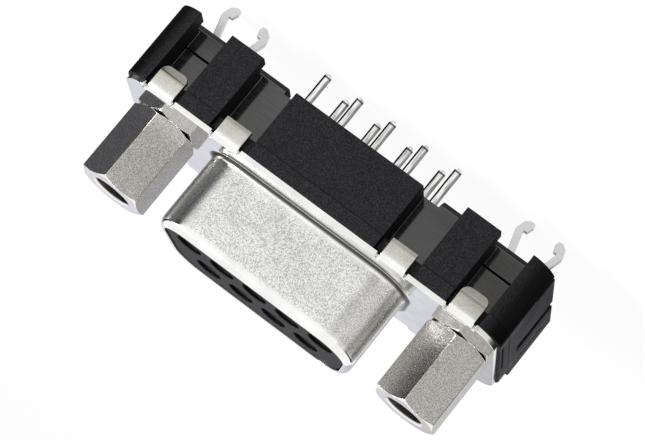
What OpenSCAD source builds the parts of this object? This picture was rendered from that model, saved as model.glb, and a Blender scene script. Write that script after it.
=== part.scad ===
// Straight nine-way D-subminiature socket connector for a circuit board.
// A drawn steel shell is crimped over a two-part plastic body that holds nine
// socket contacts. Hex screw locks stand on the flange and forked board locks
// reach through the board at both ends.
//
// Frame: origin at the centre of the board seat, +Z towards the mating plug,
// X along the length, the row of five contacts on the -Y side. Millimetres.

/* [Shell] */
// Thickness of the shell's sheet
sheet_t = 0.4; // [0.3:0.05:0.5]
// Length of the flange along X, which sets the length of the whole connector
flange_w = 30.81; // [30:0.01:34]
// Depth of the flange along Y
flange_d = 12.55; // [12.3:0.01:14]
// Corner radius of the flange
flange_r = 2; // [0.5:0.1:3]
// Height of the flange's front face above the board
flange_z = 6.35; // [6:0.05:9]
// Hole in the flange for a screw lock's stud
flange_hole_d = 3.05; // [2.95:0.01:3.3]
// Width of the D collar at its longer side
collar_w = 16.33; // [16:0.01:17]
// Depth of the D collar
collar_d = 7.9; // [7.6:0.01:8.5]
// Corner radius of the D collar
collar_r = 2.65; // [2:0.05:3]
// Slope of the D collar's short sides in degrees
collar_slope = 10; // [5:1:12]
// Height of the collar's rim above the flange
collar_h = 6.05; // [5:0.05:7]
// Outer radius of the collar's turned-in rim
rim_r = 0.6; // [0.55:0.05:0.9]
// Radius of the fillet at the collar's root
root_r = 0.5; // [0.2:0.05:0.8]

/* [Crimp tabs] */
// Width of a crimp tab
tab_w = 2.05; // [1.5:0.05:2.3]
// Distance of a square tab from the foot block beside it
square_tab_inset = 1.55; // [1.4:0.05:1.7]
// Reach of a square tab behind the flange's front face
square_tab_l = 1.8; // [1.7:0.05:2]
// Reach of a rounded tab behind the flange's front face
round_tab_l = 2.25; // [1.9:0.05:2.6]
// Corner radius of a rounded tab
tab_corner_r = 0.55; // [0.2:0.05:0.8]
// Outer radius of the bend from flange to tab
tab_bend_r = 0.6; // [0.55:0.05:0.8]
// Width of the relief cut on each side of a tab
tab_relief = 0.2; // [0.1:0.05:0.3]
// Angle by which a tab's end is crimped inwards
crimp_angle = 25; // [5:1:40]

/* [Contacts] */
// Distance between neighbouring contacts of a row
contact_pitch = 2.77; // [2.7:0.01:2.85]
// Distance between the two rows
row_gap = 2.84; // [2.7:0.01:3]
// Outer diameter of a socket barrel
barrel_d = 1.55; // [1.4:0.05:1.7]
// Bore of a socket, for a plug's pin
socket_d = 1.02; // [0.95:0.01:1.1]
// Depth of the socket's bore
socket_depth = 5; // [4:0.1:5.4]
// Width of the slit between a socket's two tines
slit_w = 0.2; // [0.1:0.05:0.3]
// Length of the slit
slit_l = 3.8; // [2:0.1:4]
// Diameter of the collar that retains a contact
retainer_d = 1.9; // [1.8:0.05:2.1]
// Height of the retaining collar
retainer_h = 0.6; // [0.4:0.05:0.9]
// Diameter of a contact's stem inside the body
stem_d = 1.2; // [1.15:0.05:1.4]
// Diameter of a solder tail
tail_d = 0.6; // [0.5:0.05:0.7]
// Reach of a solder tail below the board seat
tail_reach = 2.95; // [2:0.05:4]
// Height of the chamfer at a tail's tip
tail_tip = 0.18; // [0.05:0.01:0.2]

/* [Plastic body] */
// Length by which the body stands past each end of the flange
body_overhang = 0.195; // [0.05:0.005:0.4]
// Depth of the body along Y
body_d = 12.5; // [12:0.1:12.5]
// Thickness of the front insulator's flange plate
plate_t = 1.1; // [0.9:0.05:1.2]
// Depth of the mating face below the collar's rim
face_recess = 0.15; // [0.05:0.05:0.6]
// Diameter of a contact hole at the mating face
entry_d = 2; // [1.8:0.05:2.2]
// Depth of the wider entry in front of a socket
entry_h = 0.3; // [0.2:0.05:0.8]
// Depth of the core between the recesses
core_d = 7.8; // [7.4:0.1:8.4]
// Clearance between the board and the rear face
rear_gap = 0.6; // [0.4:0.05:0.8]
// Length of an end block along X
end_l = 1.8; // [1.6:0.05:1.9]
// Length of the recess between an end block and a foot block
outer_recess_l = 2.6; // [2.5:0.05:2.7]
// Length of a foot block along X
foot_l = 2.75; // [2.6:0.05:2.9]
// Length of the recess between a foot block and the centre block
inner_recess_l = 3.15; // [3:0.05:3.3]
// Radius of the rounded corner of an end block on the -Y side
end_r = 1.9; // [1:0.1:2.2]
// Radius of the body's corners on the +Y side
far_r = 0.3; // [0.1:0.05:1]
// Depth of a foot's pad along Y
pad_d = 1.1; // [0.8:0.1:1.6]
// Depth of an end block's pads along Y
end_pad_d = 1.6; // [1.2:0.1:2]
// Thickness of the rim that joins an end block's pads
end_rim_w = 0.75; // [0.5:0.05:0.8]
// Depth of a seat rib along Y
rib_d = 1.45; // [1.2:0.05:1.6]
// Length of a seat rib along X
rib_l = 9.1; // [8.6:0.1:9.4]
// Chamfer along the outer edge of a seat rib
rib_chamfer = 0.4; // [0.1:0.05:0.5]
// Height of the parting slit in an outer recess above the board
parting_z = 1.93; // [1.7:0.01:2.2]
// Width of a parting slit
parting_w = 0.14; // [0.1:0.01:0.2]
// Depth of a parting slit
parting_depth = 0.35; // [0.2:0.05:0.6]
// Depth of the narrow slots in the end faces
end_slot_depth = 0.4; // [0.2:0.05:0.45]
// Y of the slot beside the rounded corner
corner_slot_y = -4.5; // [-5:0.05:-3.5]
// Width of the slot beside the rounded corner
corner_slot_w = 0.45; // [0.2:0.05:0.6]
// Height to which it reaches above the board
corner_slot_z = 1.95; // [1:0.05:3]
// Y of the wide slot
wide_slot_y = 1.6; // [1.3:0.05:2]
// Width of the wide slot
wide_slot_w = 1.2; // [0.6:0.05:1.6]
// Height to which it reaches above the board
wide_slot_z = 3.9; // [2:0.05:4.4]
// Depth of the wide slot
wide_slot_depth = 0.7; // [0.3:0.05:0.7]
// Y of the thin slot
thin_slot_y = 4.2; // [3.6:0.05:5]
// Width of the thin slot
thin_slot_w = 0.35; // [0.2:0.05:0.6]
// Lower end of the thin slot above the board
thin_slot_z = 1.1; // [0.6:0.05:1.6]
// Upper end of the thin slot above the board
thin_slot_top = 3.85; // [2.5:0.05:4.4]
// Width of the groove in the ends of the front insulator's plate
plate_groove_w = 0.18; // [0.1:0.01:0.3]
// Length of that groove along Y
plate_groove_l = 5; // [2:0.1:6]
// Y of the middle of that groove
plate_groove_y = -0.9; // [-1.5:0.1:0.5]

/* [Screw locks] */
// Distance of a screw lock's axis from the end of the flange
lock_edge = 2.91; // [2.85:0.01:2.95]
// Width of the hex across its flats
hex_af = 4.65; // [4.5:0.05:5]
// Height of the hex above the flange
hex_h = 5.9; // [4.7:0.1:6.5]
// Slope of the hex chamfers in degrees
hex_chamfer = 30; // [15:1:40]
// Turn of the left hex from the right one, in degrees
hex_turn = 6.5; // [0:0.5:30]
// Diameter of the stud's thread
thread_d = 2.84; // [2.7:0.01:2.9]
// Length of the stud below the hex
stud_l = 3.4; // [3:0.1:3.7]
// Core diameter of the threaded hole at the front
tap_d = 2.4; // [2.2:0.01:2.5]
// Depth of the threaded hole
tap_depth = 4.6; // [3:0.1:4.6]
// Diameter of the threaded hole's countersink
sink_d = 3.1; // [2.8:0.05:3.4]
// Diameter of the threaded insert in the body
insert_d = 4.4; // [4.2:0.05:4.5]
// Height of the threaded insert
insert_h = 2.35; // [2:0.05:2.6]

/* [Board locks] */
// Distance of a board lock's middle outside its screw lock's axis
fork_offset = 0.155; // [0:0.005:0.2]
// Thickness of the board lock's sheet
lock_t = 0.5; // [0.3:0.05:0.6]
// Half width of the board lock's head
lock_head_x = 2.1; // [2:0.05:2.2]
// Width of a prong
prong_w = 0.54; // [0.45:0.01:0.65]
// Inner edge of a prong at the rear face, from the lock's middle
prong_in_x = 0.5; // [0.4:0.05:0.7]
// Outer edge of the bulge, from the lock's middle
bulge_x = 1.88; // [1.8:0.01:2]
// Depth of the bulge below the board seat
bulge_z = 2.25; // [2.1:0.05:2.6]
// Inner edge of a tip, from the lock's middle
tip_x = 1; // [0.8:0.05:1.2]
// Reach of the tips below the board seat
lock_reach = 3.28; // [2.9:0.01:3.6]

/* [Clearances] */
// Gap around the insulator inside the collar's rim
boss_gap = 0.05; // [0.02:0.01:0.2]
// Gap between a tab and the plastic behind it
tab_gap = 0.04; // [0.02:0.01:0.1]
// Gap around contacts, inserts and board locks in the plastic
fit_gap = 0.03; // [0.01:0.01:0.05]
// Gap on the radius of the stud's thread
thread_gap = 0.02; // [0.01:0.01:0.05]

/* [Hidden] */
$fn = 64;
// Steps of a full circle in the shell, whose profile is swept round corners
shell_fn = 48;

// A little more than any face that a cut has to pass
eps = 0.05;
// Turn that sets two flats of a hex square to X, in degrees
flat_turn = 30;
wide_count = 5;
contact_count = 9;
body_w = flange_w + 2 * body_overhang;
lock_x = flange_w / 2 - lock_edge;
fork_x = lock_x + fork_offset;
// Sides of the blocks, from the middle
end_in_x = body_w / 2 - end_l;
foot_out_x = end_in_x - outer_recess_l;
foot_in_x = foot_out_x - foot_l;
centre_x = foot_in_x - inner_recess_l;
square_tab_x = foot_in_x - square_tab_inset;
rib_in_x = body_w / 2 - rib_l;
rim_z = flange_z + collar_h;
face_z = rim_z - face_recess;
flange_back_z = flange_z - sheet_t;
seam_z = flange_back_z - plate_t;
entry_z = face_z - entry_h;
barrel_top_z = entry_z - fit_gap;
insert_z = seam_z - insert_h;
// Y of the plastic behind the crimp tabs, and behind their bends
tab_seat_y = flange_d / 2 - sheet_t - tab_gap;
bend_seat_y = flange_d / 2 - tab_bend_r;
bend_z = flange_z - tab_bend_r;
tab_xs = [-lock_x, -square_tab_x, square_tab_x, lock_x];

// Place of contact number i: 1 to 5 in the wide row, 6 to 9 in the other
function contact_at(i) = i <= wide_count
    ? [(i - (wide_count + 1) / 2) * contact_pitch, -row_gap / 2]
    : [(i - wide_count - wide_count / 2) * contact_pitch, row_gap / 2];

// Centres of the D outline's four corners, from the -X, -Y one onwards
d_hx = collar_w / 2 - collar_r;
d_hy = collar_d / 2 - collar_r;
d_lean = 2 * d_hy * tan(collar_slope);
d_centres = [[-d_hx, -d_hy], [d_hx, -d_hy], [d_hx - d_lean, d_hy], [d_lean - d_hx, d_hy]];
// Outward normals of the four sides, starting with the longer one
d_normals = [-90, collar_slope, 90, 180 - collar_slope];

function on_circle(centre, r, angle) = centre + r * [cos(angle), sin(angle)];

// D outline, grown by a distance on all sides
module d_outline(grow = 0) {
    r = collar_r + grow;
    for (c = d_centres)
        translate(c)
            circle(r);
    polygon([for (k = [0:3]) for (c = [d_centres[k], d_centres[(k + 1) % 4]])
        on_circle(c, r, d_normals[k])]);
}

// Carries a profile of (distance outside the collar, height) round the D
module around_d() {
    for (k = [0:3]) {
        start = d_centres[k];
        stop = d_centres[(k + 1) % 4];
        side_l = norm(stop - start);
        next_normal = k == 3 ? 270 : d_normals[k + 1];
        translate(start)
            rotate([0, 0, d_normals[k]])
                translate([0, side_l, 0])
                    rotate([90, 0, 0])
                        linear_extrude(side_l)
                            translate([collar_r, 0])
                                children();
        translate(stop)
            rotate([0, 0, d_normals[k]])
                rotate_extrude(angle = next_normal - d_normals[k])
                    translate([collar_r, 0])
                        children();
    }
}

// Rectangle with corner radii r_near on the -Y side and r_far on the +Y side
module rounded_plate(w, d, r_near, r_far) {
    for (s = [-1, 1]) {
        translate([s * (w / 2 - r_near), -(d / 2 - r_near)])
            circle(r_near);
        translate([s * (w / 2 - r_far), d / 2 - r_far])
            circle(r_far);
    }
    translate([r_near - w / 2, -d / 2])
        square([w - 2 * r_near, d / 2]);
    translate([r_far - w / 2, 0])
        square([w - 2 * r_far, d / 2]);
    translate([-w / 2, r_near - d / 2])
        square([w, d - r_near - r_far]);
}

// Quarter of a ring from the +X to the +Y axis
module quarter_ring(outer_r, inner_r) {
    intersection() {
        difference() {
            circle(outer_r);
            circle(inner_r);
        }
        square(outer_r);
    }
}

// Wall of the collar with its root fillet and turned-in rim
module collar_profile() {
    translate([-sheet_t, flange_z + root_r])
        square([sheet_t, collar_h - root_r - rim_r]);
    translate([-rim_r, rim_z - rim_r])
        quarter_ring(rim_r, rim_r - sheet_t);
    translate([root_r, flange_z + root_r])
        rotate(180)
            quarter_ring(root_r + sheet_t, root_r);
}

// Section of a crimp tab of a given reach: X runs outwards, Y is height
module tab_profile(reach) {
    crimp_z = seam_z - tab_gap;
    crimp_l = max(sheet_t / 2, reach - (flange_z - crimp_z));
    inner = flange_d / 2 - sheet_t;
    translate([flange_d / 2 - tab_bend_r, flange_z - tab_bend_r])
        quarter_ring(tab_bend_r, tab_bend_r - sheet_t);
    translate([inner, crimp_z])
        square([sheet_t, flange_z - tab_bend_r - crimp_z]);
    translate([inner, crimp_z]) {
        intersection() {
            circle(sheet_t);
            polygon([[0, 0], [2 * sheet_t, 0], [2 * sheet_t, -2 * sheet_t * tan(crimp_angle)]]);
        }
        rotate(-crimp_angle)
            translate([0, -crimp_l])
                square([sheet_t, crimp_l]);
    }
}

// Outline of a tab seen from the side, rounded at its free end
module tab_face(reach, corner_r) {
    end_z = flange_z - reach;
    translate([-tab_w / 2, end_z + corner_r])
        square([tab_w, reach - corner_r]);
    if (corner_r > 0) {
        translate([corner_r - tab_w / 2, end_z])
            square([tab_w - 2 * corner_r, corner_r]);
        for (s = [-1, 1])
            translate([s * (tab_w / 2 - corner_r), end_z + corner_r])
                circle(corner_r);
    }
}

// One crimp tab on the +Y edge of the flange
module crimp_tab(reach, corner_r) {
    intersection() {
        rotate([90, 0, 90])
            translate([0, 0, -tab_w / 2])
                linear_extrude(tab_w)
                    tab_profile(reach);
        translate([0, flange_d / 2 + eps, 0])
            rotate([90, 0, 0])
                linear_extrude(2 * tab_bend_r + sheet_t)
                    tab_face(reach, corner_r);
    }
}

// Drawn shell: flange, D collar and eight crimp tabs
module front_shell() {
    $fn = shell_fn;
    color("silver") {
        translate([0, 0, flange_back_z])
            linear_extrude(sheet_t)
                difference() {
                    rounded_plate(flange_w, flange_d, flange_r, flange_r);
                    d_outline(root_r);
                    for (s = [-1, 1])
                        translate([s * lock_x, 0])
                            circle(d = flange_hole_d);
                    for (x = tab_xs, s = [-1, 1])
                        translate([x, s * flange_d / 2])
                            square([tab_w + 2 * tab_relief, 2 * tab_bend_r], center = true);
                }
        around_d()
            collar_profile();
        for (x = tab_xs, s = [0, 1])
            translate([x, 0, 0])
                mirror([0, s, 0])
                    crimp_tab(abs(x) == square_tab_x ? square_tab_l : round_tab_l,
                        abs(x) == square_tab_x ? 0 : tab_corner_r);
    }
}

// X ranges of the recesses between the blocks
recesses = [[-end_in_x, -foot_out_x], [-foot_in_x, -centre_x],
    [centre_x, foot_in_x], [foot_out_x, end_in_x]];

// Body outline with recesses cut back to a given half depth
module body_outline(recess_y, r_far) {
    difference() {
        rounded_plate(body_w, body_d, end_r, r_far);
        for (r = recesses, s = [-1, 1])
            translate([r[0], s > 0 ? recess_y : -body_d])
                square([r[1] - r[0], body_d - recess_y]);
    }
}

// Plastic insert with the mating face and its flange plate
module front_insulator() {
    color([0.16, 0.16, 0.18])
        difference() {
            union() {
                translate([0, 0, seam_z])
                    linear_extrude(bend_z - seam_z)
                        body_outline(tab_seat_y, end_r);
                translate([0, 0, bend_z])
                    linear_extrude(flange_back_z - bend_z)
                        body_outline(bend_seat_y, end_r);
                translate([0, 0, seam_z])
                    linear_extrude(face_z - seam_z)
                        d_outline(-rim_r - boss_gap);
            }
            for (s = [-1, 1])
                translate([s * lock_x, 0, seam_z - eps])
                    cylinder(d = flange_hole_d, h = plate_t + 2 * eps);
            for (s = [-1, 1])
                translate([s * body_w / 2, plate_groove_y, seam_z + plate_t - 2 * plate_groove_w])
                    cube([2 * end_slot_depth, plate_groove_l, plate_groove_w], center = true);
            for (i = [1:contact_count])
                translate(contact_at(i))
                    contact_cavity();
        }
}

// Room for one socket, with a wider entry at the face
module contact_cavity() {
    translate([0, 0, seam_z - eps])
        cylinder(d = barrel_d + 2 * fit_gap, h = face_z - seam_z);
    translate([0, 0, entry_z])
        cylinder(d = entry_d, h = entry_h + eps);
}

// Ribs and pads that stand on the board, on the +Y side
module seat_ribs() {
    core_y = core_d / 2;
    for (s = [-1, 1]) {
        x_start = s > 0 ? rib_in_x : -body_w / 2;
        translate([x_start, 0, 0])
            rotate([90, 0, 90])
                linear_extrude(body_w / 2 - rib_in_x)
                    polygon([[core_y, rear_gap], [core_y, rib_chamfer], [core_y - rib_chamfer, 0],
                        [core_y - rib_chamfer - rib_d, 0], [core_y - rib_chamfer - rib_d, rear_gap]]);
        translate([s > 0 ? foot_in_x : -foot_out_x, body_d / 2 - pad_d, 0])
            cube([foot_out_x - foot_in_x, pad_d, rear_gap]);
    }
}

// Slots of an end face: Y of the middle, width, depth, lower end and upper end
end_slots = [[corner_slot_y, corner_slot_w, end_slot_depth, -eps, corner_slot_z],
    [wide_slot_y, wide_slot_w, wide_slot_depth, -eps, wide_slot_z],
    [thin_slot_y, thin_slot_w, end_slot_depth, thin_slot_z, thin_slot_top]];

// Plastic body behind the seam, with blocks, recesses, ribs and pockets
module rear_body() {
    color([0.13, 0.13, 0.14])
        difference() {
            union() {
                translate([0, 0, rear_gap])
                    linear_extrude(seam_z - rear_gap)
                        body_outline(core_d / 2, far_r);
                linear_extrude(rear_gap)
                    difference() {
                        rounded_plate(body_w, body_d, end_r, far_r);
                        square([2 * end_in_x, 2 * body_d], center = true);
                        square([body_w - 2 * end_rim_w, body_d - 2 * end_pad_d], center = true);
                    }
                for (s = [0, 1])
                    mirror([0, s, 0])
                        seat_ribs();
            }
            for (s = [0, 1])
                mirror([s, 0, 0])
                    end_cuts();
            for (i = [1:contact_count])
                translate(contact_at(i)) {
                    translate([0, 0, -eps])
                        cylinder(d = stem_d + 2 * fit_gap, h = seam_z);
                    translate([0, 0, seam_z - retainer_h])
                        cylinder(d = retainer_d + 2 * fit_gap, h = retainer_h + eps);
                }
        }
}

// Pocket, board lock slot and slits of the +X end
module end_cuts() {
    translate([lock_x, 0, insert_z])
        cylinder(d = insert_d + 2 * fit_gap, h = insert_h + eps);
    translate([fork_x - lock_head_x - fit_gap, -lock_t / 2 - fit_gap, -eps])
        cube([2 * (lock_head_x + fit_gap), lock_t + 2 * fit_gap, insert_z + 2 * eps]);
    for (s = [-1, 1])
        translate([foot_out_x - eps, s > 0 ? core_d / 2 - parting_depth : -core_d / 2 - eps, parting_z])
            cube([end_in_x - foot_out_x + eps, parting_depth + eps, parting_w]);
    for (slot = end_slots)
        translate([body_w / 2 - slot[2], slot[0] - slot[1] / 2, slot[3]])
            cube([slot[2] + eps, slot[1], slot[4] - slot[3]]);
}

// Turned socket contact with a straight solder tail
module contact(i) {
    color("gold")
        translate(contact_at(i))
            difference() {
                rotate_extrude()
                    contact_profile();
                translate([0, 0, barrel_top_z - socket_depth])
                    cylinder(d = socket_d, h = socket_depth + eps);
                translate([-slit_w / 2, -barrel_d, barrel_top_z - slit_l])
                    cube([slit_w, 2 * barrel_d, slit_l + eps]);
            }
}

module contact_profile() {
    tail_r = tail_d / 2;
    polygon([[0, -tail_reach], [tail_r - tail_tip, -tail_reach], [tail_r, tail_tip - tail_reach],
        [tail_r, rear_gap], [stem_d / 2, rear_gap], [stem_d / 2, seam_z - retainer_h],
        [retainer_d / 2, seam_z - retainer_h], [retainer_d / 2, seam_z],
        [barrel_d / 2, seam_z], [barrel_d / 2, barrel_top_z], [0, barrel_top_z]]);
}

// Hex screw lock with a stud below and a threaded hole in front
module screw_lock(side, turn) {
    corner_r = hex_af / sqrt(3);
    end_r = hex_af / 2;
    chamfer_h = (corner_r - end_r) * tan(hex_chamfer);
    sink_h = (sink_d - tap_d) / 2;
    color("gainsboro")
        translate([side * lock_x, 0, flange_z])
            rotate([0, 0, turn])
                difference() {
                    union() {
                        intersection() {
                            rotate([0, 0, flat_turn])
                                cylinder(r = corner_r, h = hex_h, $fn = 6);
                            rotate_extrude()
                                polygon([[0, 0], [end_r, 0], [corner_r, chamfer_h],
                                    [corner_r, hex_h - chamfer_h], [end_r, hex_h], [0, hex_h]]);
                        }
                        translate([0, 0, -stud_l])
                            cylinder(d = thread_d, h = stud_l);
                    }
                    translate([0, 0, hex_h - tap_depth])
                        cylinder(d = tap_d, h = tap_depth + eps);
                    translate([0, 0, hex_h - sink_h])
                        cylinder(d1 = tap_d, d2 = sink_d, h = sink_h);
                }
}

// Brass bush in the body that takes the stud of a screw lock
module threaded_insert(side) {
    color("darkkhaki")
        translate([side * lock_x, 0, insert_z])
            difference() {
                cylinder(d = insert_d, h = insert_h);
                translate([0, 0, -eps])
                    cylinder(r = thread_d / 2 + thread_gap, h = insert_h + 2 * eps);
            }
}

// Half outline of the fork: X from its middle line, Y is height
prong_bulge_in_x = bulge_x - prong_w;
prong_notch = prong_w / 3;
prong_points = [[0, insert_z], [lock_head_x, insert_z], [lock_head_x, rear_gap],
    [prong_in_x + prong_w, rear_gap], [bulge_x, -bulge_z], [bulge_x, -bulge_z - prong_notch],
    [bulge_x - prong_notch, -lock_reach + 1.5 * prong_notch], [tip_x + 2 * prong_notch, -lock_reach],
    [tip_x, -lock_reach], [tip_x - prong_notch / 2, -lock_reach + 2 * prong_notch],
    [tip_x + prong_notch / 2, -bulge_z - prong_notch], [prong_bulge_in_x, -bulge_z - prong_notch],
    [prong_bulge_in_x, -bulge_z], [prong_in_x, rear_gap], [0, rear_gap + prong_in_x]];

// Stamped fork that snaps into a hole of the board
module board_lock(side) {
    last = len(prong_points) - 1;
    mirrored = [for (k = [last - 1:-1:1]) [-prong_points[k][0], prong_points[k][1]]];
    color("lightgray")
        translate([side * fork_x, lock_t / 2, 0])
            rotate([90, 0, 0])
                linear_extrude(lock_t)
                    polygon(concat(prong_points, mirrored));
}

front_shell();
front_insulator();
rear_body();
for (i = [1:contact_count])
    contact(i);
screw_lock(1, hex_turn);  // screw_lock_left
screw_lock(-1, 0);  // screw_lock_right
threaded_insert(1);  // threaded_insert_left
threaded_insert(-1);  // threaded_insert_right
board_lock(1);  // board_lock_left
board_lock(-1);  // board_lock_right
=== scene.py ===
# %% [markdown]
# # A nine-way socket connector for a circuit board
# A connector like this is a drawn steel shell crimped over two plastic mouldings,
# with contacts pressed into them and screw locks at both ends. The CAD solids hold
# every size, so this lesson loads them as a fixed frame and gives them what a solid
# model lacks: rounded edges, a cut thread, and finishes with a real surface.

# %% Load the frame
import math

import bmesh
import bpy
from mathutils import Matrix, Vector


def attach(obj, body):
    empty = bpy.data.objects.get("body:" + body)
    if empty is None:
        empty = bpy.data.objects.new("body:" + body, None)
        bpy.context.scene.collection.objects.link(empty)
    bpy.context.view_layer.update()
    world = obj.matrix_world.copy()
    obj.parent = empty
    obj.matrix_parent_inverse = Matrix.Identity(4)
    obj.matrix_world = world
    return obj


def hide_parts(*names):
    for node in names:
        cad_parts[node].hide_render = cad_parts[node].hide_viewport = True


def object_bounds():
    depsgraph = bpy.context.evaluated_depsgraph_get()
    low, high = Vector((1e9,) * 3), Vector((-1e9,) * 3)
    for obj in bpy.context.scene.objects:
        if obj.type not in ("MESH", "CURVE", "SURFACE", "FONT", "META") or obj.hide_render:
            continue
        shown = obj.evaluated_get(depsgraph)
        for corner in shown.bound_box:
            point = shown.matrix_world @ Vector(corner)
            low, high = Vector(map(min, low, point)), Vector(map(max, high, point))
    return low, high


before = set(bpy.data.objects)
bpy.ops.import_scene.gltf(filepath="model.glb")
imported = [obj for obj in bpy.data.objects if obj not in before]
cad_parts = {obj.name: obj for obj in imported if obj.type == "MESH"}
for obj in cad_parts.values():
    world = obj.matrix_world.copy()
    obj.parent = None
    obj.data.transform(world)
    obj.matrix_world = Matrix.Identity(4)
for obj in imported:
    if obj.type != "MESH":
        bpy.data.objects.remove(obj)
cad_box = [list(corner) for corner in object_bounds()]
MM = 0.001


def in_mm(box):
    """A box's corners in millimetres, rounded for print."""
    return [[round(v / MM, 2) for v in corner] for corner in box]


print("CAD box in mm:", in_mm(cad_box))

# %% [markdown]
# ## The camera
# The photograph was taken with a long lens from the side of the wide contact row, a
# little above the flange, and then turned so that the connector lies across the frame.
# Left and right are the picture's here, so left is +X, and the camera stands towards
# the right end. Its rotation is set by three angles, because a tilted picture can't be
# made with a plain look-at.

# %% Camera
SENSOR_MM, LENS_MM, CLIP_MM = 36, 162.47, 10
CAMERA_MM = (-42.272, -186.753, 45.583)
CAMERA_TURN_DEG = (-74.7516, 38.1627, 176.8336)


def put_in_scene(name, data):
    """A new object that holds this data, linked to the scene."""
    thing = bpy.data.objects.new(name, data)
    bpy.context.scene.collection.objects.link(thing)
    return thing


camera_data = bpy.data.cameras.new("product_camera")
camera_data.sensor_width = SENSOR_MM
camera_data.lens = LENS_MM
camera_data.clip_start = CLIP_MM * MM
camera = put_in_scene("product_camera", camera_data)
camera.location = Vector(CAMERA_MM) * MM
camera.rotation_euler = [math.radians(a) for a in CAMERA_TURN_DEG]
bpy.context.scene.camera = camera
bpy.context.scene.view_settings.view_transform = "Standard"
print("Camera at", round(camera.location.length / MM), "mm from the board seat")

# %% [markdown]
# ## Small helpers for finishes
# Colours are written as the hex values that a painter reads off a screen, and a
# shader wants linear light, so one function turns one into the other. Another one
# adds a node: what it is given as a socket becomes a link, the rest a value.

# %% Colour and node helpers
def linear(code):
    """Linear RGBA of an sRGB hex colour."""
    parts = [int(code[i:i + 2], 16) / 255 for i in (1, 3, 5)]
    return [c / 12.92 if c <= 0.04045 else ((c + 0.055) / 1.055) ** 2.4 for c in parts] + [1]


def feed(tree, node, inputs):
    """Links a node's inputs to other nodes' sockets, or sets them to values."""
    for key, value in inputs.items():
        if isinstance(value, bpy.types.NodeSocket):
            tree.links.new(value, node.inputs[key])
        else:
            node.inputs[key].default_value = value


def add(tree, kind, inputs=None, **settings):
    """Adds one node, with its settings, and its inputs linked or set."""
    node = tree.nodes.new(kind)
    for name, value in settings.items():
        setattr(node, name, value)
    feed(tree, node, inputs or {})
    return node


print("White is", linear("#ffffff"), "and mid grey", [round(c, 3) for c in linear("#808080")])

# %% [markdown]
# A finish starts as a material with its shader. Values that are the same all over are
# set on the shader itself. What changes over the surface comes from a noise, whose
# scale is worked out from a size in millimetres, and goes through a colour ramp.

# %% Finish helpers
def new_finish(name, inputs):
    """A material with its node tree and its shader, which gets these values."""
    material = bpy.data.materials.new(name)
    material.use_nodes = True
    shader = material.node_tree.nodes["Principled BSDF"]
    feed(material.node_tree, shader, inputs)
    return material, material.node_tree, shader


def fill_ramp(node, stops):
    """Gives a colour ramp these (position, colour) stops, adding those it lacks."""
    elements = node.color_ramp.elements
    elements[0].position, elements[-1].position = stops[0][0], stops[-1][0]
    lacking = len(stops) - len(elements)
    for position, _ in stops[1:1 + lacking]:
        elements.new(position)
    for element, (_, code) in zip(elements, stops):
        element.color = linear(code)


def per_mm(size_mm):
    """Texture scale that gives a pattern of this size, as coordinates are in metres."""
    return 1 / (size_mm * MM)


print("A pattern of 0.1 mm has a scale of", round(per_mm(0.1)))

# %% [markdown]
# ## Tin plate on the shell
# The shell is cold-rolled steel, drawn and then plated with tin. The flange keeps
# the smooth skin of the rolled sheet and mirrors what stands on it. The collar was
# drawn through a die and the tabs were bent, which opens the skin to a fine grain,
# and the collar's rim was turned in and ironed smooth again. A dark band of painted
# shade lies in the collar's root, and the tabs' crimped ends carry a painted dark
# reflection. Height alone tells these zones apart, so two ramps along Z say how far
# the skin was worked and how much painted shade it gets.

# %% Tin plate: zones by height
SHELL_LOW_MM, SHELL_HIGH_MM = 4.0, 12.4
WORKED_AT_MM = [(5.75, "#a0a0a0"), (5.95, "#000000"), (6.45, "#000000"), (7.1, "#ffffff"),
                (11.55, "#ffffff"), (11.85, "#101010")]
# Painted shade: a dark band in the collar's root, and a dark reflection painted on the tabs'
# crimped ends.
PAINTED_SHADE_AT_MM = [(4.5, "#a09d95"), (4.78, "#b7b4ac"), (4.95, "#d8d5ce"), (5.6, "#e6e4df"),
              (5.9, "#ffffff"), (6.36, "#ffffff"), (6.39, "#575553"), (6.52, "#575553"),
              (6.68, "#ffffff")]


def shell_stops(heights):
    """Ramp stops for (height in mm, colour) pairs on the shell."""
    span_mm = SHELL_HIGH_MM - SHELL_LOW_MM
    return [((z_mm - SHELL_LOW_MM) / span_mm, code) for z_mm, code in heights]


tin_plate, tree, shader = new_finish("tin_plated_steel", {"Metallic": 1.0})
place = add(tree, "ShaderNodeTexCoord").outputs["Object"]
height = add(tree, "ShaderNodeSeparateXYZ", {"Vector": place}).outputs["Z"]
level = add(tree, "ShaderNodeMapRange", {"Value": height, "From Min": SHELL_LOW_MM * MM,
                                         "From Max": SHELL_HIGH_MM * MM}).outputs["Result"]
worked = add(tree, "ShaderNodeValToRGB", {"Fac": level})
fill_ramp(worked, shell_stops(WORKED_AT_MM))
worked = worked.outputs["Color"]
# Painted shade along Z, from the ramp of heights above.
painted_shade = add(tree, "ShaderNodeValToRGB", {"Fac": level})
fill_ramp(painted_shade, shell_stops(PAINTED_SHADE_AT_MM))
# The zones counted here as dull tin are painted shade.
print("Zones on the shell:", len(WORKED_AT_MM), "for the skin,", len(PAINTED_SHADE_AT_MM), "for dull tin")

# %% [markdown]
# The opened grain shows as bright and dark specks in each reflection. They are a few
# hundredths of a millimetre across, drawn here at 0.07 mm so that they show in a
# picture this size. A slow cloud of 1.6 mm keeps the smooth skin from being all alike.

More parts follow.
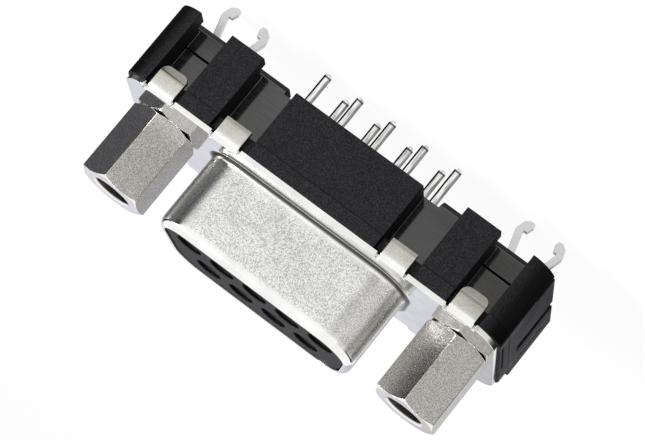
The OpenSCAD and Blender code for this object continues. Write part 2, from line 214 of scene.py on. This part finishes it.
# %% Tin plate: grain and polish
GRAIN_MM, CLOUD_MM, GRAIN_DEPTH_MM = 0.07, 1.6, 0.006
grain = add(tree, "ShaderNodeTexNoise", {"Vector": place, "Scale": per_mm(GRAIN_MM), "Detail": 2.0,
                                         "Roughness": 0.6}).outputs["Fac"]
cloud = add(tree, "ShaderNodeTexNoise", {"Vector": place, "Scale": per_mm(CLOUD_MM),
                                         "Detail": 3.0}).outputs["Fac"]
skin = add(tree, "ShaderNodeValToRGB", {"Fac": cloud})
fill_ramp(skin, [(0.3, "#eeeeec"), (0.7, "#fefefd")])
speck = add(tree, "ShaderNodeValToRGB", {"Fac": grain})
fill_ramp(speck, [(0.29, "#a2a19f"), (0.46, "#d8d8d6"), (0.58, "#ffffff")])
dotted = add(tree, "ShaderNodeMix", {"Factor": worked, "A": skin.outputs["Color"],
                                     "B": speck.outputs["Color"]},
             data_type="RGBA", blend_type="MULTIPLY")
# The painted shade darkens the plating's colour.
painted_shade_tint = add(tree, "ShaderNodeMix", {"Factor": 1.0, "A": dotted.outputs["Result"],
                                      "B": painted_shade.outputs["Color"]},
              data_type="RGBA", blend_type="MULTIPLY")
polish = add(tree, "ShaderNodeMapRange", {"Value": worked, "To Min": 0.12, "To Max": 0.24})
raised = add(tree, "ShaderNodeMath", {0: grain, 1: worked}, operation="MULTIPLY")
relief = add(tree, "ShaderNodeBump", {"Height": raised.outputs[0], "Strength": 0.35,
                                      "Distance": GRAIN_DEPTH_MM * MM})
feed(tree, shader, {"Base Color": painted_shade_tint.outputs["Result"], "Roughness": polish.outputs["Result"],
                    "Normal": relief.outputs["Normal"]})
print("Finish made:", tin_plate.name)

# %% [markdown]
# ## Nickel on the screw locks
# The hex screw locks are turned steel with a nickel plate. Both ends are turned, so
# what faces up or down is smooth and bright. Within the thread's radius the metal is
# painted darker, as painted shade in the tapped hole. The way a face looks finds the
# turned ends, and the distance from the lock's axis finds the hole.

# %% Nickel plate: turned ends and tapped hole
LOCK_X_MM = 12.495
THREAD_ROOT_MM, THREAD_CREST_MM, THREAD_PITCH_MM = 1.42, 1.2, 0.635
TAPPED_MARGIN_MM, TURNED_SLOPE = 0.02, 0.3
nickel, tree, shader = new_finish("nickel_plated_steel", {"Metallic": 1.0})
coordinates = add(tree, "ShaderNodeTexCoord").outputs
place = coordinates["Object"]
axes = add(tree, "ShaderNodeSeparateXYZ", {"Vector": place})
side = add(tree, "ShaderNodeMath", {0: axes.outputs["X"]}, operation="ABSOLUTE")
side = add(tree, "ShaderNodeMath", {0: side.outputs[0], 1: LOCK_X_MM * MM}, operation="SUBTRACT")
off_axis = add(tree, "ShaderNodeCombineXYZ", {"X": side.outputs[0], "Y": axes.outputs["Y"]})
radius = add(tree, "ShaderNodeVectorMath", {0: off_axis.outputs["Vector"]}, operation="LENGTH")
# Painted shade: within this radius the tapped hole is painted darker.
hole_shade_mask = add(tree, "ShaderNodeMath", {0: radius.outputs["Value"],
                                      1: (THREAD_ROOT_MM + TAPPED_MARGIN_MM) * MM},
             operation="LESS_THAN").outputs[0]
facing = add(tree, "ShaderNodeSeparateXYZ", {"Vector": coordinates["Normal"]})
slope = add(tree, "ShaderNodeMath", {0: facing.outputs["Z"]}, operation="ABSOLUTE")
turned = add(tree, "ShaderNodeMath", {0: slope.outputs[0], 1: TURNED_SLOPE},
             operation="GREATER_THAN").outputs[0]
print("Hole darkened to", round(THREAD_ROOT_MM + TAPPED_MARGIN_MM, 2), "mm from a lock's axis")

# %% [markdown]
# Nickel is a little darker and warmer than tin, and the drawn hex bar under it gives
# fine specks. They are drawn at 0.06 mm, which is coarser than they are, so that they
# show. On the turned ends the tool has cut them away.

# %% Nickel plate: specks and polish
BAR_GRAIN_MM, BAR_DEPTH_MM = 0.06, 0.016
grain = add(tree, "ShaderNodeTexNoise", {"Vector": place, "Scale": per_mm(BAR_GRAIN_MM),
                                         "Detail": 2.0, "Roughness": 0.65}).outputs["Fac"]
tint = add(tree, "ShaderNodeValToRGB", {"Fac": grain})
fill_ramp(tint, [(0.33, "#86837e"), (0.475, "#b8b5b0"), (0.60, "#e2e0dc")])
bright = add(tree, "ShaderNodeMix", {"Factor": turned, "A": tint.outputs["Color"],
                                     "B": linear("#f2f0ed")}, data_type="RGBA")
# Painted shade: the hole's metal gets a darker tint.
hole_shade_tint = add(tree, "ShaderNodeMix", {"Factor": hole_shade_mask, "A": bright.outputs["Result"],
                                   "B": linear("#85837f")}, data_type="RGBA")
polish = add(tree, "ShaderNodeMapRange", {"Value": grain, "From Min": 0.3, "From Max": 0.7,
                                          "To Min": 0.10, "To Max": 0.20})
rough = add(tree, "ShaderNodeMapRange", {"Value": turned, "To Min": 0.5, "To Max": 0.1})
relief = add(tree, "ShaderNodeBump", {"Height": grain, "Strength": rough.outputs["Result"],
                                      "Distance": BAR_DEPTH_MM * MM})
feed(tree, shader, {"Base Color": hole_shade_tint.outputs["Result"], "Roughness": polish.outputs["Result"],
                    "Normal": relief.outputs["Normal"]})
print("Finish made:", nickel.name)

# %% [markdown]
# ## Tin on the contacts
# Solder tails are tinned so that solder wets them. The wire was drawn, which leaves
# bright and dull lines along the tail: a noise that is stretched ten times along Z.
# A dark ring under the rounded tip is a painted reflection. The socket ends are plated
# too, but dull, and height finds both.

# %% Finish: tinned contact
TAIL_MM, PAINTED_RING_SPAN_MM, SOCKET_MM, SOCKET_DULLER = 2.95, 1, 8.0, 0.4
LINE_MM, LINE_STRETCH = 0.12, 0.10
tinned_tail, tree, shader = new_finish("tinned_contact", {"Metallic": 1.0})
place = add(tree, "ShaderNodeTexCoord").outputs["Object"]
stretched = add(tree, "ShaderNodeMapping", {"Vector": place, "Scale": (1.0, 1.0, LINE_STRETCH)})
line = add(tree, "ShaderNodeTexNoise", {"Vector": stretched.outputs["Vector"],
                                        "Scale": per_mm(LINE_MM), "Detail": 2.0,
                                        "Roughness": 0.6}).outputs["Fac"]
drawn = add(tree, "ShaderNodeValToRGB", {"Fac": line})
fill_ramp(drawn, [(0.35, "#a2a2a1"), (0.50, "#e0e0df"), (0.62, "#fafaf9")])
height = add(tree, "ShaderNodeSeparateXYZ", {"Vector": place}).outputs["Z"]
level = add(tree, "ShaderNodeMapRange", {"Value": height, "From Min": -TAIL_MM * MM,
                                         "From Max": (PAINTED_RING_SPAN_MM - TAIL_MM) * MM})
# Painted reflection: a dark ring on the tail just under its rounded tip.
painted_ring = add(tree, "ShaderNodeValToRGB", {"Fac": level.outputs["Result"]})
fill_ramp(painted_ring, [(0.23, "#ffffff"), (0.27, "#545454"), (0.33, "#545454"), (0.42, "#ffffff")])
tail = add(tree, "ShaderNodeMix", {"Factor": 1.0, "A": drawn.outputs["Color"],
                                   "B": painted_ring.outputs["Color"]},
           data_type="RGBA", blend_type="MULTIPLY")
socket = add(tree, "ShaderNodeMath", {0: height, 1: SOCKET_MM * MM},
             operation="GREATER_THAN").outputs[0]
tint = add(tree, "ShaderNodeMix", {"Factor": socket, "A": tail.outputs["Result"],
                                   "B": linear("#e6e6e4")}, data_type="RGBA")
polish = add(tree, "ShaderNodeMapRange", {"Value": line, "To Min": 0.10, "To Max": 0.20})
dull = add(tree, "ShaderNodeMath", {0: socket, 1: SOCKET_DULLER, 2: polish.outputs["Result"]},
           operation="MULTIPLY_ADD")
feed(tree, shader, {"Base Color": tint.outputs["Result"], "Roughness": dull.outputs[0]})
print("Finish made:", tinned_tail.name)

# %% [markdown]
# ## Tinned sheet and turned brass
# The stamped board locks have a flatter, paler tin that hardly mirrors anything. The
# threaded bushes inside the body are turned brass, and next to nothing of them is seen.
# For both, a slow change of tint and polish is enough, so one function makes them.

# %% Finishes: board lock and bush
def cloudy_metal(name, cloud_mm, detail, tints, polish_range):
    """A metal whose tint and polish change slowly over its surface."""
    metal, tree, shader = new_finish(name, {"Metallic": 1.0})
    place = add(tree, "ShaderNodeTexCoord").outputs["Object"]
    cloud = add(tree, "ShaderNodeTexNoise", {"Vector": place, "Scale": per_mm(cloud_mm),
                                             "Detail": detail}).outputs["Fac"]
    tint = add(tree, "ShaderNodeMix", {"Factor": cloud, "A": linear(tints[0]),
                                       "B": linear(tints[1])}, data_type="RGBA")
    polish = add(tree, "ShaderNodeMapRange", {"Value": cloud, "To Min": polish_range[0],
                                              "To Max": polish_range[1]})
    feed(tree, shader, {"Base Color": tint.outputs["Result"],
                        "Roughness": polish.outputs["Result"]})
    return metal


tinned_lock = cloudy_metal("tinned_sheet", 0.2, 3.0, ("#c8c8c8", "#dededd"), (0.24, 0.36))
brass = cloudy_metal("turned_brass", 0.3, 2.0, ("#c9ab6a", "#e4cd95"), (0.22, 0.4))
print("Finishes made:", tinned_lock.name, brass.name)

# %% [markdown]
# ## Moulded polyester
# The body is glass-filled polyester, black, moulded in a spark-eroded tool, so most
# faces are matt with a fine pale speckle, drawn coarser than it is. A polished sliding
# core makes the floors of the recesses: they are glossy, carry the core's drag lines
# along X, and mirror the wall beside them. The end faces are painted paler, as painted
# light. Each of these is one plane, so comparing a coordinate with the plane's place
# finds it. The blocks' sides and round corners are painted near black, as painted
# shade: they are found by the way they face.

# %% Black polyester: where is what
RECESS_Y_MM, END_X_MM, PLANE_MM = 3.9, 15.6, 0.02
# Painted shade on the blocks' sides: how far a face looks along X.
SIDE_SHADE_FROM, SIDE_SHADE_TO = 0.2, 0.6
polyester, tree, shader = new_finish("black_polyester", {
    "IOR": 1.5, "Specular IOR Level": 0.12, "Coat Roughness": 0.10, "Coat IOR": 1.8})
coordinates = add(tree, "ShaderNodeTexCoord").outputs
place = coordinates["Object"]
axes = add(tree, "ShaderNodeSeparateXYZ", {"Vector": place})
depth = add(tree, "ShaderNodeMath", {0: axes.outputs["Y"]}, operation="ABSOLUTE")
in_recess = add(tree, "ShaderNodeMath", {0: depth.outputs[0], 1: RECESS_Y_MM * MM,
                                         2: PLANE_MM * MM}, operation="COMPARE").outputs[0]
reach = add(tree, "ShaderNodeMath", {0: axes.outputs["X"]}, operation="ABSOLUTE")
# Painted light: the end faces are painted paler.
painted_light_end_mask = add(tree, "ShaderNodeMath", {0: reach.outputs[0], 1: END_X_MM * MM,
                                      2: PLANE_MM * MM}, operation="COMPARE").outputs[0]
facing = add(tree, "ShaderNodeSeparateXYZ", {"Vector": coordinates["Normal"]})
slant = add(tree, "ShaderNodeMath", {0: facing.outputs["X"]}, operation="ABSOLUTE")
# Painted shade: faces that look along X, the blocks' sides and round corners, turn near black.
side_shade = add(tree, "ShaderNodeMapRange", {"Value": slant.outputs[0], "From Min": SIDE_SHADE_FROM,
                                           "From Max": SIDE_SHADE_TO}).outputs["Result"]
print("Recess floors at y", RECESS_Y_MM, "mm and end faces at x", END_X_MM, "mm")

# %% [markdown]
# Each zone has its own ramp, and they are laid over each other from the commonest to
# the rarest. The gloss of the recess floors is a coat on the shader, as the amount of
# coat may change over a surface.

# %% Black polyester: colours and gloss
# Painted shade: near black for the blocks' sides and the walls of the contact holes.
PAINTED_SHADE_BLACK = "#050505"
SPARK_MM, SPARK_DEPTH_MM, DRAG_MM, DRAG_STRETCH = 0.07, 0.01, 0.12, 0.07
speck = add(tree, "ShaderNodeTexNoise", {"Vector": place, "Scale": per_mm(SPARK_MM), "Detail": 2.0,
                                         "Roughness": 0.7}).outputs["Fac"]
stretched = add(tree, "ShaderNodeMapping", {"Vector": place, "Scale": (DRAG_STRETCH, 1.0, 1.0)})
drag = add(tree, "ShaderNodeTexNoise", {"Vector": stretched.outputs["Vector"],
                                        "Scale": per_mm(DRAG_MM), "Detail": 2.0,
                                        "Roughness": 0.6}).outputs["Fac"]
matt = add(tree, "ShaderNodeValToRGB", {"Fac": speck})
fill_ramp(matt, [(0.34, "#131214"), (0.50, "#201f21"), (0.68, "#424046")])
smooth = add(tree, "ShaderNodeValToRGB", {"Fac": drag})
fill_ramp(smooth, [(0.33, "#0c0b0d"), (0.50, "#1f1e21"), (0.68, "#3d3b40")])
# Painted light: a paler ramp for the end faces.
painted_light_end_ramp = add(tree, "ShaderNodeValToRGB", {"Fac": speck})
fill_ramp(painted_light_end_ramp, [(0.34, "#424045"), (0.50, "#56545a"), (0.68, "#74727a")])
tint = matt.outputs["Color"]
for zone, shade in ((side_shade, linear(PAINTED_SHADE_BLACK)), (in_recess, smooth.outputs["Color"]),
                    (painted_light_end_mask, painted_light_end_ramp.outputs["Color"])):
    laid = add(tree, "ShaderNodeMix", {"Factor": zone, "A": tint, "B": shade}, data_type="RGBA")
    tint = laid.outputs["Result"]
polish = add(tree, "ShaderNodeMapRange", {"Value": in_recess, "To Min": 0.58, "To Max": 0.30})
relief = add(tree, "ShaderNodeBump", {"Height": speck, "Strength": 0.35,
                                      "Distance": SPARK_DEPTH_MM * MM})
feed(tree, shader, {"Base Color": tint, "Coat Weight": in_recess,
                    "Roughness": polish.outputs["Result"], "Normal": relief.outputs["Normal"]})
print("Finish made:", polyester.name)

# %% [markdown]
# The front moulding has a copy of this finish that is a little duller and paler. Its
# mating face is grey, and the walls of its contact holes get painted shade in black. A
# copied node keeps its name, so the names find the nodes to change.

# %% Black polyester: the front moulding
MATING_Z_MM, FACE_UP = 8, 0.5
dull_polyester = polyester.copy()
dull_polyester.name = "black_polyester_front"
tree = dull_polyester.node_tree
shader = tree.nodes[shader.name]
fill_ramp(tree.nodes[matt.name], [(0.34, "#161517"), (0.50, "#272628"), (0.68, "#4a484d")])
mating = add(tree, "ShaderNodeMath", {0: tree.nodes[axes.name].outputs["Z"], 1: MATING_Z_MM * MM},
             operation="GREATER_THAN")
flat = add(tree, "ShaderNodeMath", {0: tree.nodes[facing.name].outputs["Z"], 1: FACE_UP},
           operation="GREATER_THAN")
# Painted shade: hole walls, which don't face up, are painted black.
face = add(tree, "ShaderNodeMix", {"Factor": flat.outputs[0], "A": linear(PAINTED_SHADE_BLACK),
                                   "B": linear("#38373a")}, data_type="RGBA")
shade = add(tree, "ShaderNodeMix", {"Factor": mating.outputs[0],
                                    "A": tree.nodes[laid.name].outputs["Result"],
                                    "B": face.outputs["Result"]}, data_type="RGBA")
feed(tree, shader, {"Base Color": shade.outputs["Result"], "Specular IOR Level": 0.08})
print("Finish made:", dull_polyester.name)

# %% [markdown]
# ## From CAD triangles to pieces with rounded edges
# A CAD node arrives as loose triangles with knife edges, and a real edge is never
# that sharp: moulded plastic has a radius of about a tenth of a millimetre, and a
# stamped sheet a burr that tumbling rounds off. So a copy of the node is merged, its
# flat faces are made whole again, and a Bevel modifier rounds what is left of the
# sharp edges. Where the rounding brings corners together, a Weld modifier makes them
# one. The copy replaces the node on screen, and the solid stays for physics.

# %% Helpers for meshes
def mesh_from(bm, name):
    """Turns a bmesh into a mesh and frees it."""
    mesh = bpy.data.meshes.new(name)
    bm.to_mesh(mesh)
    bm.free()
    return mesh


def smooth_piece(bm, name, finish, sharp_deg):
    """An object of this finish, shaded smooth but for edges sharper than an angle."""
    mesh = mesh_from(bm, name)
    mesh.materials.append(finish)
    mesh.shade_smooth()
    mesh.set_sharp_from_angle(angle=math.radians(sharp_deg))
    return put_in_scene(name, mesh)


print("Nodes in the frame:", len(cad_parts))

# %% Dress a CAD node
MERGE_MM, FLAT_DEG, SHARP_DEG = 0.0005, 0.2, 30


def dressed(node, finish, round_mm, sharp_deg=SHARP_DEG, shape=None):
    """A merged copy of a CAD node with rounded edges, in its place."""
    bm = bmesh.new()
    bm.from_mesh(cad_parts[node].data)
    bmesh.ops.remove_doubles(bm, verts=bm.verts, dist=MERGE_MM * MM)
    bmesh.ops.dissolve_limit(bm, angle_limit=math.radians(FLAT_DEG), verts=bm.verts, edges=bm.edges)
    if shape:
        shape(bm)
    piece = smooth_piece(bm, node + "_dressed", finish, sharp_deg)
    bevel = piece.modifiers.new("rounded_edges", "BEVEL")
    bevel.width = round_mm * MM
    bevel.segments = 2
    bevel.limit_method = "ANGLE"
    bevel.angle_limit = math.radians(sharp_deg)
    bevel.use_clamp_overlap = False
    bevel.harden_normals = True
    piece.modifiers.new("merged_corners", "WELD").merge_threshold = MERGE_MM * MM
    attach(piece, "root")
    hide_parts(node)
    return piece


dressed("front_shell", tin_plate, round_mm=0.05)
dressed("front_insulator", dull_polyester, round_mm=0.09)
dressed("rear_body", polyester, round_mm=0.06)
for number in range(1, 10):
    dressed(f"contact_{number}", tinned_tail, round_mm=0.03)
for side in ("left", "right"):
    dressed(f"threaded_insert_{side}", brass, round_mm=0.05)
    dressed(f"board_lock_{side}", tinned_lock, round_mm=0.04)

# %% [markdown]
# ## Screw locks with a cut thread
# The solid has a plain hole of the thread's inner diameter, because a thread of this
# size is cut by a tap and seldom drawn in CAD. In the picture its first turns show in
# the hole's mouth. So the hole's wall moves out to the thread's root, and at the
# mouth up the countersink, to stay on its cone. The hex bar's long edges are rounder
# than the turned ones, so they are rounded before the others.

# %% Shape of a screw lock
HEX_TOP_MM, TAP_BOTTOM_MM, MOUTH_MM = 12.25, 7.65, 1
WALL_MARGIN_MM, BOTTOM_MARGIN_MM = 0.02, 0.1
HEX_EDGE_MM, LONG_EDGE_MM, HEX_SHARP_DEG = 0.05, 2, 40


def lock_shape(x_mm):
    """A function that opens a lock's hole to the thread's root and rounds the hex."""
    def in_wall(vert):
        radius = math.hypot(vert.co.x - x_mm * MM, vert.co.y)
        return (vert.co.z > (TAP_BOTTOM_MM - BOTTOM_MARGIN_MM) * MM
                and abs(radius - THREAD_CREST_MM * MM) < WALL_MARGIN_MM * MM)

    def is_hex_edge(edge):
        rise = abs(edge.verts[0].co.z - edge.verts[1].co.z)
        return rise > LONG_EDGE_MM * MM and edge.calc_face_angle(0) > math.radians(HEX_SHARP_DEG)

    def shape(bm):
        wall = [v for v in bm.verts if in_wall(v)]
        mouth = [v for v in wall if v.co.z > (HEX_TOP_MM - MOUTH_MM) * MM]
        wider = THREAD_ROOT_MM / THREAD_CREST_MM
        bmesh.ops.scale(bm, vec=(wider, wider, 1), space=Matrix.Translation((-x_mm * MM, 0, 0)),
                        verts=wall)
        bmesh.ops.translate(bm, vec=(0, 0, (THREAD_ROOT_MM - THREAD_CREST_MM) * MM), verts=mouth)
        corners = [e for e in bm.edges if is_hex_edge(e)]
        bmesh.ops.bevel(bm, geom=corners, offset=HEX_EDGE_MM * MM, affect="EDGES", segments=2,
                        profile=0.5, material=-1, clamp_overlap=True)
        print("Wall vertices moved:", len(wall), "and edges rounded:", len(corners))
    return shape


print("The hole widens by", round(THREAD_ROOT_MM - THREAD_CREST_MM, 2), "mm all round")

# %% [markdown]
# The thread's ridge is spun up along the wall: a spin with a step along the axis makes
# a helix. The countersink then cuts back the ridge's top, as the drill does on the
# real one. The hex faces are flat, and a Weighted Normal modifier keeps the rounded
# edges from bending their shading.

# %% Screw locks
THREAD_TURNS, THREAD_STEPS, RUN_OUT_MM = 6, 288, 0.4
THREAD_START_MM = TAP_BOTTOM_MM + RUN_OUT_MM
RIDGE_HALF_MM, RIDGE_FLAT_MM, SINK_MM, OVERLAP_MM = 0.28, 0.04, 1.55, 0.01


def thread_ridge(name, x_mm):
    """The helical ridge in one tapped hole."""
    root = THREAD_ROOT_MM + OVERLAP_MM
    profile = ((root, -RIDGE_HALF_MM), (THREAD_CREST_MM, -RIDGE_FLAT_MM),
               (THREAD_CREST_MM, RIDGE_FLAT_MM), (root, RIDGE_HALF_MM))
    bm = bmesh.new()
    section = [bm.verts.new((r * MM, 0, (THREAD_START_MM + z) * MM)) for r, z in profile]
    edges = [bm.edges.new(pair) for pair in zip(section, section[1:] + section[:1])]
    bmesh.ops.spin(bm, geom=section + edges, cent=(0, 0, 0), axis=(0, 0, 1),
                   angle=math.tau * THREAD_TURNS, steps=THREAD_STEPS,
                   dvec=(0, 0, THREAD_PITCH_MM * THREAD_TURNS / THREAD_STEPS * MM))
    bmesh.ops.holes_fill(bm, edges=[e for e in bm.edges if e.is_boundary], sides=4)
    for vert in bm.verts:
        cone = min(root * MM, (SINK_MM + OVERLAP_MM) * MM - (HEX_TOP_MM * MM - vert.co.z))
        if vert.co.xy.length < cone:
            vert.co.xy *= cone / vert.co.xy.length
    bmesh.ops.recalc_face_normals(bm, faces=bm.faces)
    bmesh.ops.translate(bm, vec=(x_mm * MM, 0, 0), verts=bm.verts)
    piece = smooth_piece(bm, name, nickel, SHARP_DEG)
    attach(piece, "root")
    return piece


for side, x_mm in (("left", LOCK_X_MM), ("right", -LOCK_X_MM)):
    lock = dressed(f"screw_lock_{side}", nickel, round_mm=0.03,
                   sharp_deg=HEX_SHARP_DEG, shape=lock_shape(x_mm))
    lock.modifiers.new("flat_faces", "WEIGHTED_NORMAL").keep_sharp = True
    ridge = thread_ridge(f"thread_{side}", x_mm)
print("Faces in a thread:", len(ridge.data.polygons))

# %% [markdown]
# ## Stage and light
# The connector stands on a white floor that runs out of sight. Floor and world are
# white for whatever looks at them or mirrors them, and dimmer as sources of light, so
# the background is white while one large soft box on the left models the plastic. The
# floor keeps the part's soft shadow.

# %% Floor
FLOOR_HALF_MM, FLOOR_GAP_MM = 3000, 0.02
floor_z = cad_box[0][2] - FLOOR_GAP_MM * MM
bm = bmesh.new()
bmesh.ops.create_grid(bm, x_segments=1, y_segments=1, size=FLOOR_HALF_MM * MM)
bmesh.ops.translate(bm, verts=bm.verts, vec=(0, 0, floor_z))
floor = put_in_scene("floor", mesh_from(bm, "floor"))
print("Floor at", round(floor_z / MM, 2), "mm")

# %% [markdown]
# The floor's paper has two looks. To light that falls on it, it is a plain matt sheet.
# To the camera, and to what mirrors it, it glows almost white, with a darker matt sheet
# under the glow that takes the shadow.

# %% White paper
def bare_material(name):
    """A material without any nodes, and its tree."""
    material = bpy.data.materials.new(name)
    material.use_nodes = True
    material.node_tree.nodes.clear()
    return material, material.node_tree


def seen_rays(tree):
    """1 for rays from the camera, a mirror or glass, which see the background, or 0."""
    rays = add(tree, "ShaderNodeLightPath").outputs
    seen = add(tree, "ShaderNodeMath", {0: rays["Is Camera Ray"], 1: rays["Is Glossy Ray"]},
               operation="MAXIMUM")
    seen = add(tree, "ShaderNodeMath", {0: seen.outputs[0], 1: rays["Is Transmission Ray"]},
               operation="MAXIMUM")
    return seen.outputs[0]


paper, tree = bare_material("white_paper")
sheet = add(tree, "ShaderNodeBsdfDiffuse", {"Color": linear("#e6e6e6")})
shaded = add(tree, "ShaderNodeBsdfDiffuse", {"Color": linear("#6c6c6c")})
glow = add(tree, "ShaderNodeEmission", {"Color": linear("#ffffff"), "Strength": 0.94})
white = add(tree, "ShaderNodeAddShader", {0: shaded.outputs[0], 1: glow.outputs[0]})
mixed = add(tree, "ShaderNodeMixShader", {0: seen_rays(tree), 1: sheet.outputs[0],
                                          2: white.outputs[0]})
add(tree, "ShaderNodeOutputMaterial", {"Surface": mixed.outputs[0]})
floor.data.materials.append(paper)
print("Finish made:", paper.name)

# %% [markdown]
# ## The world around it
# The world is a plain white sky. Where it is seen or mirrored its strength is 1, and
# as a source of light it is about a quarter of that, because it comes from all sides and
# would fill every shadow.

# %% World
SKY_LIGHT, SKY_SEEN = 0.24, 1.0
world = bpy.data.worlds.new("studio")
bpy.context.scene.world = world
world.use_nodes = True
tree = world.node_tree
tree.nodes.clear()
level = add(tree, "ShaderNodeMapRange", {"Value": seen_rays(tree), "To Min": SKY_LIGHT,
                                         "To Max": SKY_SEEN})
sky = add(tree, "ShaderNodeBackground", {"Color": linear("#ffffff"),
                                         "Strength": level.outputs["Result"]})
add(tree, "ShaderNodeOutputWorld", {"Surface": sky.outputs[0]})
print("World strength", SKY_LIGHT, "as light and", SKY_SEEN, "for what is seen or mirrored")

# %% [markdown]
# ## Lamps
# Shadows in the recesses fall to the right, so the main light is on the left, in
# front and above. It is a soft box, two fifths as wide as it is far away, and a weaker
# one further round lights the faces that look left.

# %% Lamps
LAMP_AIM_MM = (0, 0, 6)


def soft_lamp(name, place_mm, size_mm, watts):
    """A square soft box that looks at the part's middle."""
    data = bpy.data.lights.new(name, "AREA")
    data.shape = "SQUARE"
    data.size = size_mm * MM
    data.energy = watts
    lamp = put_in_scene(name, data)
    lamp.location = Vector(place_mm) * MM
    look = Vector(LAMP_AIM_MM) * MM - lamp.location
    lamp.rotation_euler = look.to_track_quat("-Z", "Y").to_euler()


soft_lamp("key_light", place_mm=(180, -210, 170), size_mm=130, watts=0.70)
soft_lamp("side_light", place_mm=(240, -90, 80), size_mm=140, watts=0.08)

# %% [markdown]
# ## What the metal mirrors
# Plated metal shows its surroundings more than itself. In a plain white room it
# turns as flat as paper, so a photographer stands grey and black boards around the
# part. Here they are one low bowl with a shade for each direction: dark at both ends
# of the part, lavender white behind, white in front. Its wall is lower in front, so
# that what faces the camera mirrors more of the white sky.

# %% Reflection bowl
BOWL_IN_MM, BOWL_OUT_MM, BOWL_TOP_MM, BOWL_FRONT_MM, BOWL_LIFT_MM = 19, 46, 24, 7, 0.1
BOWL_STEPS, FRONT_DEPTH, FRONT_WIDTH = 72, 0.3, 0.8
bowl_z = floor_z + BOWL_LIFT_MM * MM
bm = bmesh.new()
rim = [bm.verts.new((r * MM, 0, z)) for r, z in
       ((BOWL_IN_MM, bowl_z), (BOWL_OUT_MM, bowl_z), (BOWL_OUT_MM, BOWL_TOP_MM * MM))]
edges = [bm.edges.new(pair) for pair in zip(rim, rim[1:])]
bmesh.ops.spin(bm, geom=rim + edges, cent=(0, 0, 0), axis=(0, 0, 1), angle=math.tau,
               steps=BOWL_STEPS, use_merge=True)
front = [v for v in bm.verts if v.co.z > 0 and v.co.y < FRONT_DEPTH * BOWL_OUT_MM * MM
         and abs(v.co.x) < FRONT_WIDTH * BOWL_OUT_MM * MM]
bmesh.ops.translate(bm, vec=(0, 0, (BOWL_FRONT_MM - BOWL_TOP_MM) * MM), verts=front)
print("Bowl with", len(front), "corners lowered in front")

# %% [markdown]
# The solder tails end close to the floor and mirror nothing but that, so small cards
# stand between them: black to their left, with a white strip in front, and grey to
# their right. A tail's left side is the back of the place before it, so each row has
# one place more than it has tails. Each card is an edge on the floor that is extruded
# upwards, and its material is picked by number.

# %% Cards between the tails
BLACK, GREY, WHITE = 1, 2, 3
PITCH_MM, ROW_MM, MIDDLE_CARD_MM = 2.77, 1.42, 10
CARD_FAR_MM, CARD_SIDE_MM, CARD_BACK_MM, CARD_GAP_MM, CARD_SPLIT_MM = 1.35, 1.37, 1.39, 0.2, 0.8


def card(start, end, slot):
    """A card that stands on the floor between two points, as high as the tails."""
    foot = bm.edges.new([bm.verts.new((x * MM, y * MM, floor_z)) for x, y in (start, end)])
    made = bmesh.ops.extrude_edge_only(bm, edges=[foot])["geom"]
    top = [g for g in made if isinstance(g, bmesh.types.BMVert)]
    bmesh.ops.translate(bm, vec=(0, 0, -floor_z), verts=top)
    for face in foot.link_faces:
        face.material_index = slot


card((-MIDDLE_CARD_MM, 0), (MIDDLE_CARD_MM, 0), WHITE)
wide_row = [((2 - k) * PITCH_MM, -ROW_MM) for k in range(-1, 5)]
short_row = [((1.5 - k) * PITCH_MM, ROW_MM) for k in range(-1, 4)]
for x, y in wide_row + short_row:
    left, right, behind = x + CARD_SIDE_MM, x - CARD_SIDE_MM, x - CARD_BACK_MM
    far, near, split = y + CARD_FAR_MM, y - CARD_FAR_MM, y - CARD_SPLIT_MM
    card((x + CARD_GAP_MM, far), (left, far), BLACK)
    card((right, far), (x - CARD_GAP_MM, far), GREY)
    card((right, near), (right, far), GREY)
    card((behind, near), (behind, split), WHITE)
    card((behind, split), (behind, far), BLACK)
print("Places with cards:", len(wide_row + short_row))

# %% [markdown]
# The boards glow in their own shade, so that lamps and shadows don't change it. A
# radial gradient gives each direction its place on a ramp. Only reflections see the
# boards and cards, so they don't show in the picture and cast no light.

# %% Shades of the boards
BOARD_SHADES = [
    (0.000, "#646464"), (0.026, "#b4b4b2"), (0.045, "#e0dedc"), (0.120, "#e0dedc"),
    (0.170, "#cac8c5"), (0.208, "#cac8c5"), (0.235, "#f4f4f2"), (0.345, "#f8f8f6"),
    (0.370, "#c6c4be"), (0.385, "#3c3b3a"), (0.430, "#3c3b3a"), (0.465, "#68686d"),
    (0.510, "#68686d"), (0.540, "#1c1c1e"), (0.565, "#1c1c1e"), (0.600, "#77777e"),
    (0.640, "#dedee8"), (0.750, "#dedee8"), (0.785, "#bcbcc0"), (0.812, "#bcbcc0"),
    (0.832, "#f4f4f6"), (0.860, "#f4f4f6"), (0.885, "#303030"), (0.940, "#1e1e1e"),
    (1.000, "#646464")]
CARD_SHADES = [("black_card", "#0a0a0a"), ("grey_card", "#9a9a9a")]


def glowing(name):
    """A material that only glows, with its tree and the node that glows."""
    material, tree = bare_material(name)
    glow = add(tree, "ShaderNodeEmission", {"Strength": 1.0})
    add(tree, "ShaderNodeOutputMaterial", {"Surface": glow.outputs[0]})
    return material, tree, glow


bowl = put_in_scene("reflection_bowl", mesh_from(bm, "reflection_bowl"))
boards, tree, glow = glowing("studio_boards")
place = add(tree, "ShaderNodeTexCoord").outputs["Object"]
around = add(tree, "ShaderNodeTexGradient", {"Vector": place}, gradient_type="RADIAL")
shades = add(tree, "ShaderNodeValToRGB", {"Fac": around.outputs["Fac"]})
fill_ramp(shades, BOARD_SHADES)
feed(tree, glow, {"Color": shades.outputs["Color"]})
bowl.data.materials.append(boards)
for name, code in CARD_SHADES:
    plain, tree, glow = glowing(name)
    feed(tree, glow, {"Color": linear(code)})
    bowl.data.materials.append(plain)
bowl.data.materials.append(paper)
for kind in ("camera", "diffuse", "shadow", "transmission", "volume_scatter"):
    setattr(bowl, "visible_" + kind, False)
print("Bowl with", len(BOARD_SHADES), "shades")
